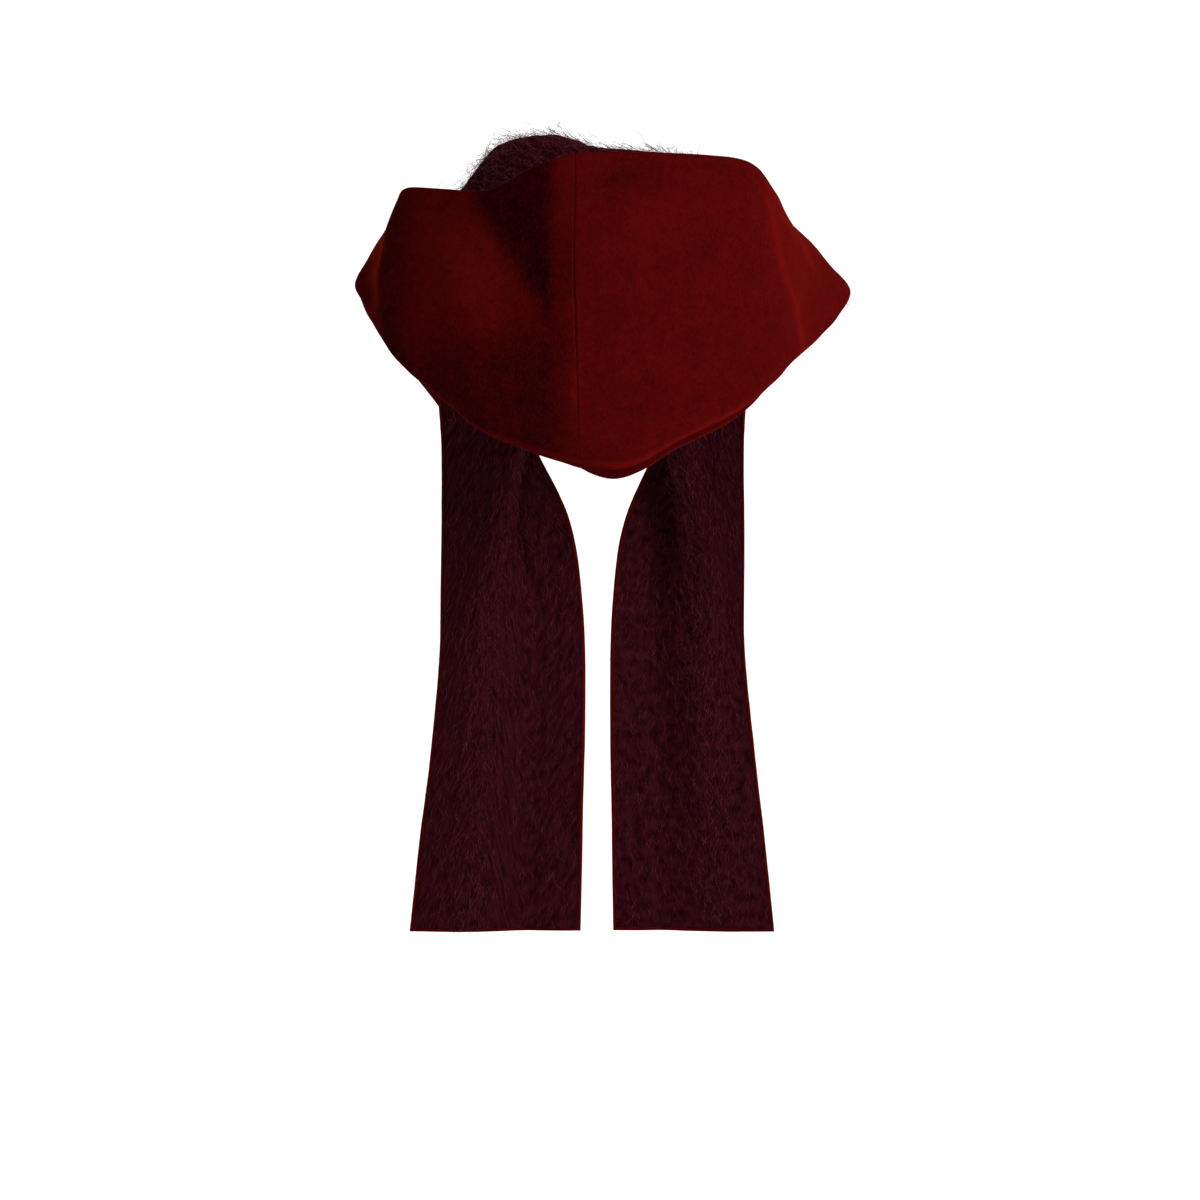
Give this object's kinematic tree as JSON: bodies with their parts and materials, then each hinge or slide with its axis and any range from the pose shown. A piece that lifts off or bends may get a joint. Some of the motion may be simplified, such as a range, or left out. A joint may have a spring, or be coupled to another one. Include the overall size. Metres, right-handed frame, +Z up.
{
  "type": "hooded scarf, hood worn down",
  "caption": "Velvet hood lined in mohair, worn down behind the neck, with a scarf end hanging on each side in front.",
  "frame": {"origin": "centre of the neck opening, level with the neckline", "axes": "+Z up, front towards -Y, the wearer's left towards +X"},
  "size_m": [0.3728, 0.307, 0.6068],
  "materials": {
    "velvet": "rust-red cotton velvet, short dense pile",
    "mohair": "brushed burgundy mohair, long loose fibres"
  },
  "bodies": {
    "root": {"hood_panel_left": "velvet", "hood_panel_right": "velvet", "hood_lining": "mohair", "scarf_end_left": "velvet", "scarf_end_right": "velvet", "scarf_lining_left": "mohair", "scarf_lining_right": "mohair"}
  },
  "joints": []
}
